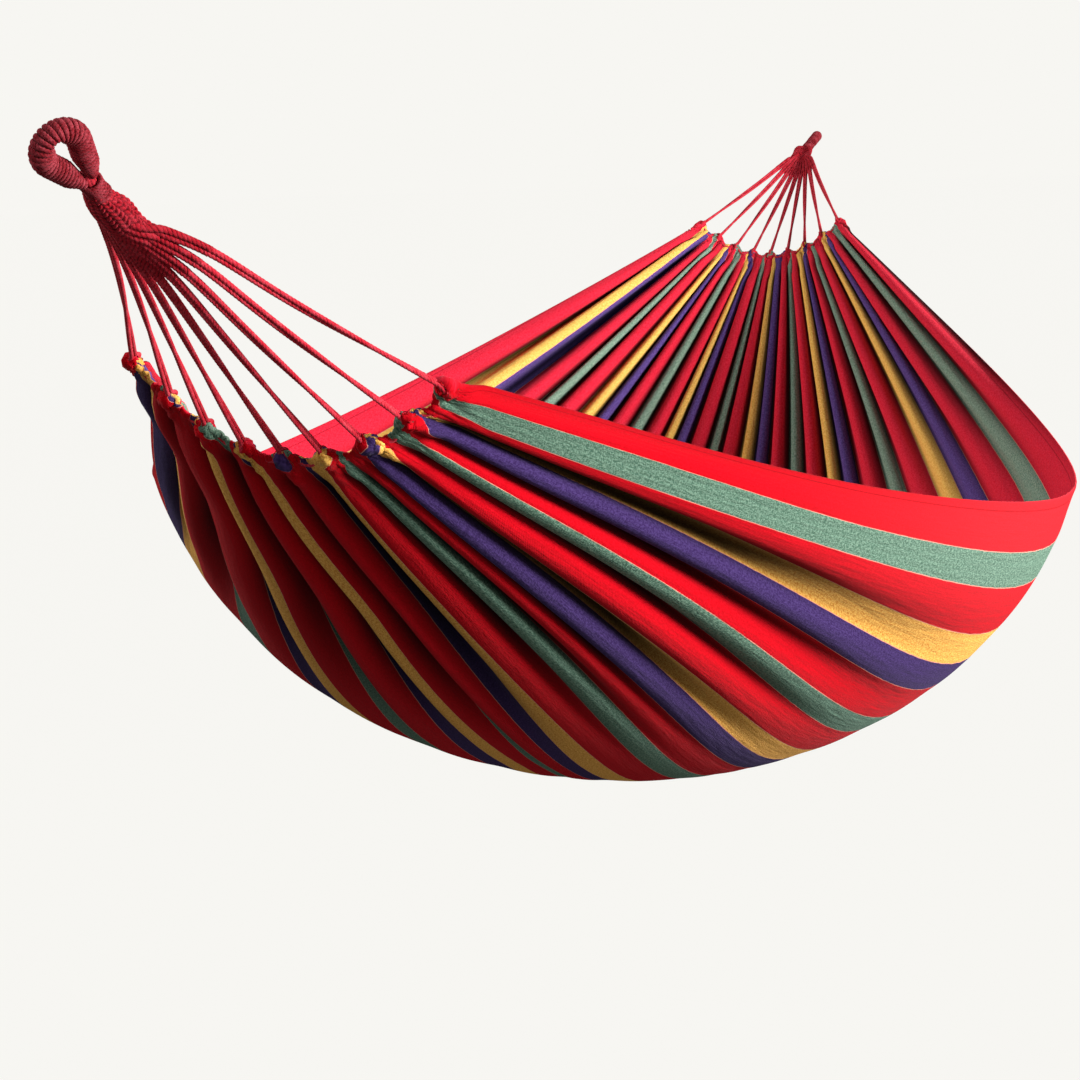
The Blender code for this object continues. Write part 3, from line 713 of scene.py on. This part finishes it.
for end in NECKS:
    for number, across in enumerate(np.linspace(-1, 1, CORD_COUNT), 1):
        path = resample(cord_route(end, across), CORD_STEP)
        facing = np.repeat(fan_frame(end, across)[1][None, :], len(path), axis=0)
        length = float(np.linalg.norm(np.diff(path, axis=0), axis=1).sum())
        run = np.linspace(0, 1, len(path)) * length
        thicker = 1 + PLAIT_SWELL * (1 - smooth(np.minimum(run, length - run) / 0.07))
        skin = rope_skin(path, facing, STRAND_DIAMETER, CORD_LAY, STRAND_SIDES, widths=thicker)
        cord = add_ropes(f"{end}_clew_cord_{number}", [skin], cord_cotton)
        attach(cord, "bed")
        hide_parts(f"{end}_cord_{number}")


# Plaits
# Below each eye the eighteen strands of the nine cords are worked into one flat body of crossed stitches.
# It starts in the whipped neck and widens, and below it the strands run out side by side to the cords.

PLAIT_TOP = 0.014
WORKED_REACH = 0.038
COLLAR_RADIUS = 0.0076
COLLAR_FOOT = 0.002
LOW_HALF_WIDTH = 0.0026
LOW_HALF_THICKNESS = 0.0038
SHOULDER = 0.0035
STITCH_COLUMNS = 8
STITCH_PITCH = 0.0043
STITCH_RISE = 0.0012
LOOSE_START = 0.021


def pull_line(end):
    """Unit vector from the neck out to the hook."""
    clew = CLEWS[end]
    return np.array([-clew["side"] * math.cos(clew["pull"]), 0.0, math.sin(clew["pull"])])


def worked_body(end):
    """Tube from the neck that flattens and widens with the fan, with rows of slanted stitches in columns
    that stand out from it: each stitch is a wave along the body, set back in step with its place in its
    column."""
    run = np.linspace(-PLAIT_TOP, WORKED_REACH, 110)[:, None]
    turn = (np.arange(160) * 2 * math.pi / 160)[None, :]
    lane = np.cos(turn)
    reach = np.maximum(run, COLLAR_FOOT)
    spread = smooth(run / WORKED_REACH)
    narrow = 0.60 + 0.40 * smooth((run + PLAIT_TOP) / 0.018)
    widen = COLLAR_RADIUS * (1 - spread) + LOW_HALF_WIDTH * spread
    widen = widen + SHOULDER * np.exp(-((run - 0.010) / 0.012) ** 2)
    widen = (lane * widen + fan_spread(end, lane, run)) * narrow
    thick = COLLAR_RADIUS * (1 - spread) + LOW_HALF_THICKNESS * spread
    thick = thick * (1 - 0.75 * smooth((run - 0.026) / 0.012))
    ray, side, face = fan_frame(end, lane)
    out = unit(side * lane[..., None] + face * np.sin(turn)[..., None])
    points = NECKS[end] + ray * reach[..., None] + side * widen[..., None]
    points = points + face * (np.sin(turn) * thick)[..., None]
    points = points + pull_line(end) * np.maximum(COLLAR_FOOT - run, 0)[..., None]
    column = STITCH_COLUMNS * np.arccos(np.clip(lane, -1, 1)) / math.pi
    arm = np.abs(2 * (column % 1) - 1)
    row = run / STITCH_PITCH + 0.6 * arm + 0.5 * np.floor(column)
    wave = np.abs(np.cos(math.pi * row)) ** 0.8
    crown = wave * (0.25 + 0.75 * np.sqrt(np.clip(1 - (2 * arm - 1) ** 2, 0, 1)))
    points = points + out * (STITCH_RISE * (crown - 0.3))[..., None]
    uv = np.stack(np.broadcast_arrays(turn / (2 * math.pi), run), -1)
    return points, crown, uv


def loose_strand(end, lane, hand):
    """Strand from inside the worked body to its cord: with its twin one in front of the other at first,
    then side by side."""
    run = np.linspace(LOOSE_START, PLAIT_REACH + 0.004, 70)[:, None]
    ray, side, face = fan_frame(end, lane)
    angle = math.pi / 2 * smooth((run - 0.026) / 0.020)
    offset = hand * PAIR_HALF * (1 + PLAIT_SWELL) * (face * np.cos(angle) + side * np.sin(angle))
    tucked = lane * 0.0030 * (1 - smooth((run - LOOSE_START) / 0.020))
    path = NECKS[end] + ray * run + offset + side * (fan_spread(end, lane, run) - tucked)
    facing = np.repeat(face[None, :], len(path), axis=0)
    thicker = 1.45 - (0.45 - PLAIT_SWELL) * smooth((run[:, 0] - 0.040) / 0.035)
    return rope_skin(path, facing, STRAND_DIAMETER, CORD_LAY, STRAND_SIDES, widths=thicker)


# The plait's strands are the cords' own, painted darker than the cords: painted shade in the bunched
# strands.
shaded_plait_cotton = make_cotton_rope("plait_red", dye(154, 24, 35), dye(58, 4, 9), dye(186, 60, 72))

for end in NECKS:
    skins = [worked_body(end)]
    for lane in np.linspace(-1, 1, CORD_COUNT):
        skins += [loose_strand(end, lane, hand) for hand in (-1, 1)]
    plait = add_ropes(f"{end}_worked_plait", skins, shaded_plait_cotton)
    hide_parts(f"{end}_plait")
    if end == "near":
        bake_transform(plait)
    else:
        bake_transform(plait)


# Eyes
# Each eye is the bundle of strands bent to a loop, closely bound with a red cotton cord.
# Its two legs thin out into a neck, which more turns of cord whip together above the plait.

EYE_CENTRE = 0.0611
EYE_RADIUS = 0.0127
FOOT_X = 0.0036
FOOT_HEIGHT = 0.0290
LOOP_STEPS = 220
BUNDLE_RADIUS = 0.0056
BUNDLE_ROPE = dict(lay=0.08, sides=36, grooves=9, groove_depth=0.10)
NECK_THICKNESS = 0.0100
TAPER_LENGTH = 0.012
WRAP_ROPE = dict(lay=0.0068, sides=14, groove_depth=0.24)
TURN_STEPS = 40
BINDING_HEIGHT = 0.0031
BINDING_PITCH = 0.0029
WHIP_DIAMETER = 0.0034
WHIP_LOW = 0.0115
WHIP_TURNS = 5
WHIP_PITCH = 0.0031
WHIP_TILT = 0.0022
WAIST_RADIUS = 0.0062


def eye_line(steps):
    """Middle line of the loop in its own plane: a leg from the neck to where it touches the bight, the
    round bight, and the other leg, evenly spaced. Returns places, tangents, outward sides, lengths and a
    taper that falls from 1 to 0 at the feet."""
    rise = EYE_CENTRE - FOOT_HEIGHT
    far_off = math.hypot(FOOT_X, rise)
    reach = math.sqrt(far_off ** 2 - EYE_RADIUS ** 2)
    lean = math.asin(EYE_RADIUS / far_off) - math.atan2(FOOT_X, rise)
    sweep = np.linspace(-lean, math.pi + lean, 240)
    bight = np.stack([EYE_RADIUS * np.cos(sweep), EYE_CENTRE + EYE_RADIUS * np.sin(sweep)], -1)
    foot = np.array([FOOT_X, FOOT_HEIGHT])
    touch = foot + reach * np.array([math.sin(lean), math.cos(lean)])
    run = np.linspace(0, 1, 120, endpoint=False)[:, None]
    right = foot * (1 - run) + touch * run
    line = np.concatenate([right, bight, (right * np.array([-1, 1]))[::-1]])
    length = np.concatenate([[0], np.cumsum(np.linalg.norm(np.diff(line, axis=0), axis=1))])
    even = np.linspace(0, length[-1], steps)
    flat = np.stack([np.interp(even, length, line[:, k]) for k in range(2)], -1)
    tangent = unit(np.gradient(flat, axis=0))
    taper = smooth(np.minimum(even, even[-1] - even) / TAPER_LENGTH)
    return flat, tangent, np.stack([tangent[:, 1], -tangent[:, 0]], -1), even, taper


def eye_axes(end):
    """Across the loop, out of its plane, and along the pull."""
    clew = CLEWS[end]
    pull = pull_line(end)
    level = np.array([0.0, 1.0, 0.0])
    across = level * math.cos(clew["twist"]) + np.cross(level, pull) * math.sin(clew["twist"])
    return across, np.cross(pull, across), pull


def eye_bundle(end):
    """Skins of the bent bundle, thinned at its feet, and of the straight one in the neck below it."""
    across, out, pull = eye_axes(end)
    flat, _, _, _, taper = eye_line(LOOP_STEPS)
    path = NECKS[end] + flat[:, :1] * across + flat[:, 1:] * pull
    neck_rise = np.linspace(0.004, 0.032, 40)
    neck_path = NECKS[end] + neck_rise[:, None] * pull
    facing = np.repeat(out[None, :], len(path), axis=0)
    neck_facing = np.repeat(out[None, :], len(neck_path), axis=0)
    thinned = 0.55 + 0.45 * taper
    loop = rope_skin(path, facing, 2 * BUNDLE_RADIUS, widths=thinned, **BUNDLE_ROPE)
    return [loop, rope_skin(neck_path, neck_facing, NECK_THICKNESS, **BUNDLE_ROPE)]


def eye_binding(end):
    """Cord wound round the bundle: pressed flat between the legs, spread out on the outside of the bight
    and squeezed together on its inside."""
    across, out, pull = eye_axes(end)
    turns = round(eye_line(LOOP_STEPS)[3][-1] / BINDING_PITCH)
    flat, tangent, outward, _, taper = eye_line(turns * TURN_STEPS)
    curl = 2 * math.pi * np.linspace(0, turns, turns * TURN_STEPS)
    radius = BUNDLE_RADIUS + BINDING_HEIGHT * 0.42
    room = np.abs(flat[:, 0]) - BINDING_HEIGHT / 2
    flat_radius = radius * (0.52 + 0.48 * taper)
    inside_turn = np.where(np.cos(curl) < 0, np.minimum(1.0, room / flat_radius), 1.0)
    in_plane = flat_radius * np.cos(curl) * inside_turn
    off_plane = radius * (0.80 + 0.20 * taper) * np.sin(curl)
    middle = flat + outward * in_plane[:, None]
    path = NECKS[end] + middle[:, :1] * across + middle[:, 1:] * pull + off_plane[:, None] * out
    out_plane = outward[:, :1] * across + outward[:, 1:] * pull
    facing = unit(out_plane * np.cos(curl)[:, None] + out * np.sin(curl)[:, None])
    skin, crown, uv = rope_skin(path, facing, BINDING_HEIGHT, **WRAP_ROPE)
    bend = np.where(flat[:, 1] > EYE_CENTRE - 0.004, 1 / EYE_RADIUS, 0.0)
    bend = np.convolve(np.pad(bend, 30, mode="edge"), np.ones(61) / 61, mode="valid")
    spread = np.clip(BINDING_PITCH * (1 + bend * in_plane) / BINDING_HEIGHT, 0.45, 1.6)
    lengthways = (tangent[:, :1] * across + tangent[:, 1:] * pull)[:, None]
    along_bundle = ((skin - path[:, None]) * lengthways).sum(-1, keepdims=True)
    return skin + lengthways * along_bundle * (spread - 1)[:, None, None], crown, uv


def neck_whipping(end):
    """Turns of cord that climb the neck, a little tilted, and narrowest halfway."""
    across, out, pull = eye_axes(end)
    curl = np.linspace(0, 2 * math.pi * WHIP_TURNS, WHIP_TURNS * TURN_STEPS)
    climb = WHIP_LOW + WHIP_PITCH * curl / (2 * math.pi)
    waist = WAIST_RADIUS + 0.0008 * ((climb - WHIP_LOW - 0.007) / 0.007) ** 2
    around = across * np.cos(curl)[:, None] + out * np.sin(curl)[:, None]
    tilt = WHIP_TILT * np.cos(curl + 0.6)
    path = NECKS[end] + around * waist[:, None] + (climb + tilt)[:, None] * pull
    return rope_skin(path, around, WHIP_DIAMETER, **WRAP_ROPE)


binding_cotton = make_cotton_rope("binding_red", dye(124, 30, 37), dye(34, 4, 6), dye(180, 80, 90))

for end in NECKS:
    core = add_ropes(f"{end}_eye_bundle", eye_bundle(end), shaded_plait_cotton)
    binding = add_ropes(f"{end}_eye_turns", [eye_binding(end)], binding_cotton)
    whipping = add_ropes(f"{end}_whipped_neck", [neck_whipping(end)], binding_cotton)
    for piece, node in ((core, "eye_core"), (binding, "eye_binding"), (whipping, "neck_whipping")):
        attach(piece, f"{end}_eye")
        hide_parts(f"{end}_{node}")


# Stage
# A pale studio floor that runs to a pale horizon, and soft lamps: a strong one from the right, one from
# the far left, and weak ones from above, by the near eye and low in front of the near end.
# The camera stands about a metre out from the near eye and to the right of it, level with it.

PAPER = dye(247, 246, 242)
FLOOR_DYE = dye(96, 95, 94)
FLOOR_HEIGHT = -1.45


def seen_rays(tree):
    """One where a ray comes from the camera, from a gloss or through glass, else nothing."""
    rays = place_node(tree, "ShaderNodeLightPath").outputs
    shown = reckon(tree, "MAXIMUM", rays["Is Camera Ray"], rays["Is Glossy Ray"])
    return reckon(tree, "MAXIMUM", shown, rays["Is Transmission Ray"])


def make_paper():
    """Pale floor: seen by the camera as its own colour, with the object's shadow faint on it."""
    material = bpy.data.materials.new("studio_paper")
    material.use_nodes = True
    tree = material.node_tree
    shader = tree.nodes["Principled BSDF"]
    shader.inputs["Base Color"].default_value = FLOOR_DYE
    shader.inputs["Roughness"].default_value = 0.95
    glow = place_node(tree, "ShaderNodeEmission", {"Color": PAPER, "Strength": 1.02})
    seen = reckon(tree, "MULTIPLY", seen_rays(tree), 0.975)
    inputs = {0: seen, 1: shader.outputs[0], 2: glow.outputs[0]}
    mixed = place_node(tree, "ShaderNodeMixShader", inputs)
    tree.links.new(mixed.outputs[0], tree.nodes["Material Output"].inputs["Surface"])
    return material


floor_corners = [(-30.0, -30.0), (60.0, -30.0), (60.0, 30.0), (-30.0, 30.0)]
floor_points = np.array([(x, y, FLOOR_HEIGHT) for x, y in floor_corners])
floor = add_piece("studio_floor", floor_points, [[0, 1, 2, 3]], floor_points[:, :2], {}, make_paper())

world = bpy.data.worlds.new("studio")
bpy.context.scene.world = world
world.use_nodes = True
sky = world.node_tree
soft = sky.nodes["Background"]
soft.inputs["Color"].default_value = (1.0, 0.99, 0.97, 1.0)
soft.inputs["Strength"].default_value = 0.06
plain = place_node(sky, "ShaderNodeBackground", {"Color": PAPER, "Strength": 1.0})
sky_inputs = {0: seen_rays(sky), 1: soft.outputs[0], 2: plain.outputs[0]}
sky_mix = place_node(sky, "ShaderNodeMixShader", sky_inputs)
sky.links.new(sky_mix.outputs[0], sky.nodes["World Output"].inputs["Surface"])


def add_lamp(name, place, target, size, power):
    """Square soft lamp that faces a target."""
    lamp = bpy.data.lights.new(name, "AREA")
    lamp.size = size
    lamp.energy = power
    item = bpy.data.objects.new(name, lamp)
    back = unit(np.array(place) - np.array(target))
    right = unit(np.cross([0.0, 0.0, 1.0], back))
    turn = np.eye(4)
    turn[:3, :3] = np.stack([right, np.cross(back, right), back], -1)
    turn[:3, 3] = place
    item.matrix_world = Matrix(turn.tolist())
    bpy.context.scene.collection.objects.link(item)


add_lamp("key_lamp", (0.7, -3.8, 0.5), (1.1, -0.2, -0.45), 1.3, 375.0)
add_lamp("top_lamp", (1.0, 0.2, 3.4), (1.2, 0.0, -0.4), 2.4, 20.0)
add_lamp("back_lamp", (1.6, 3.2, 1.3), (1.5, -0.3, -0.3), 1.6, 110.0)
add_lamp("eye_lamp", (-0.36, 0.34, 0.34), (0.0, 0.0, -0.02), 0.22, 1.7)
add_lamp("low_lamp", (-1.2, -0.55, -0.30), (0.5, 0.0, -0.42), 0.5, 2.5)

camera_data = bpy.data.cameras.new("photo_camera")
camera_data.sensor_width = 36.0
camera_data.lens = 67.37
camera_data.clip_end = 200.0
camera = bpy.data.objects.new("photo_camera", camera_data)
yaw, pitch, roll = 0.339, 0.194, -0.035
ahead = np.array([math.cos(pitch) * math.cos(yaw), math.cos(pitch) * math.sin(yaw), -math.sin(pitch)])
level_right = np.array([math.sin(yaw), -math.cos(yaw), 0.0])
level_up = np.cross(level_right, ahead)
stand = np.eye(4)
stand[:3, 0] = math.cos(roll) * level_right + math.sin(roll) * level_up
stand[:3, 1] = -math.sin(roll) * level_right + math.cos(roll) * level_up
stand[:3, 2] = -ahead
stand[:3, 3] = (-1.0904, -0.687, -0.0086)
camera.matrix_world = Matrix(stand.tolist())
bpy.context.scene.collection.objects.link(camera)
bpy.context.scene.camera = camera
bpy.context.scene.view_settings.view_transform = "Standard"
